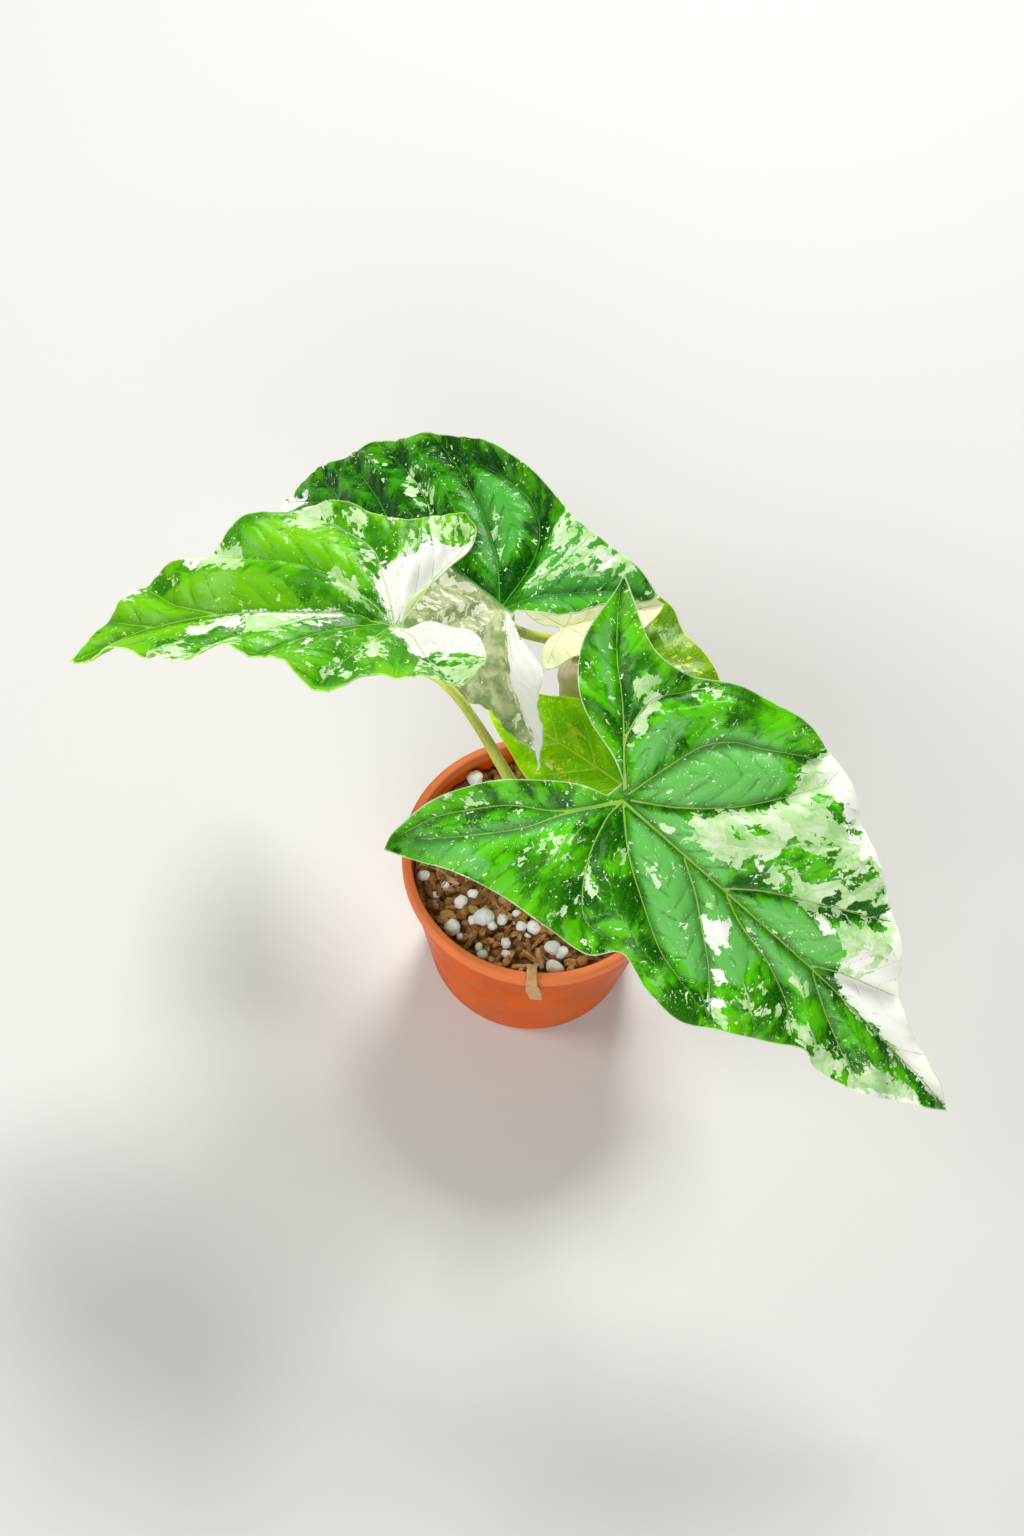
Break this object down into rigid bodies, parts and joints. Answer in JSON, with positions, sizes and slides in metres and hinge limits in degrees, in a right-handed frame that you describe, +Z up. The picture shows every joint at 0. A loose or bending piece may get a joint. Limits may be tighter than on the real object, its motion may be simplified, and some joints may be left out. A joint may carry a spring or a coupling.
{
  "type": "potted arrowhead plant",
  "caption": "Potted arrowhead plant: arrow-shaped variegated leaves on thin petioles, in a round nursery pot filled with bark and perlite mix.",
  "frame": {"origin": "centre of the pot's flat base, on the surface that it stands on", "axes": "+Z up; the front of the plant, with the largest leaf on its right, faces -Y; +X to the right seen from the front"},
  "size_m": [0.3155, 0.2263, 0.2045],
  "materials": {
    "pot": "satin",
    "mix": "matte",
    "leaf": "satin",
    "leaf_deep": "satin",
    "leaf_yellow_green": "satin",
    "leaf_cream": "satin",
    "petiole": "satin",
    "stem": "matte"
  },
  "bodies": {
    "root": {"pot": "pot", "potting_mix": "mix", "stem": "stem", "blade_front": "leaf", "petiole_front": "petiole", "blade_left": "leaf", "petiole_left": "petiole", "blade_back": "leaf_deep", "petiole_back": "petiole", "blade_cream": "leaf_cream", "petiole_cream": "petiole", "blade_right": "leaf_yellow_green", "petiole_right": "petiole", "blade_low": "leaf_yellow_green", "petiole_low": "petiole"}
  },
  "joints": []
}
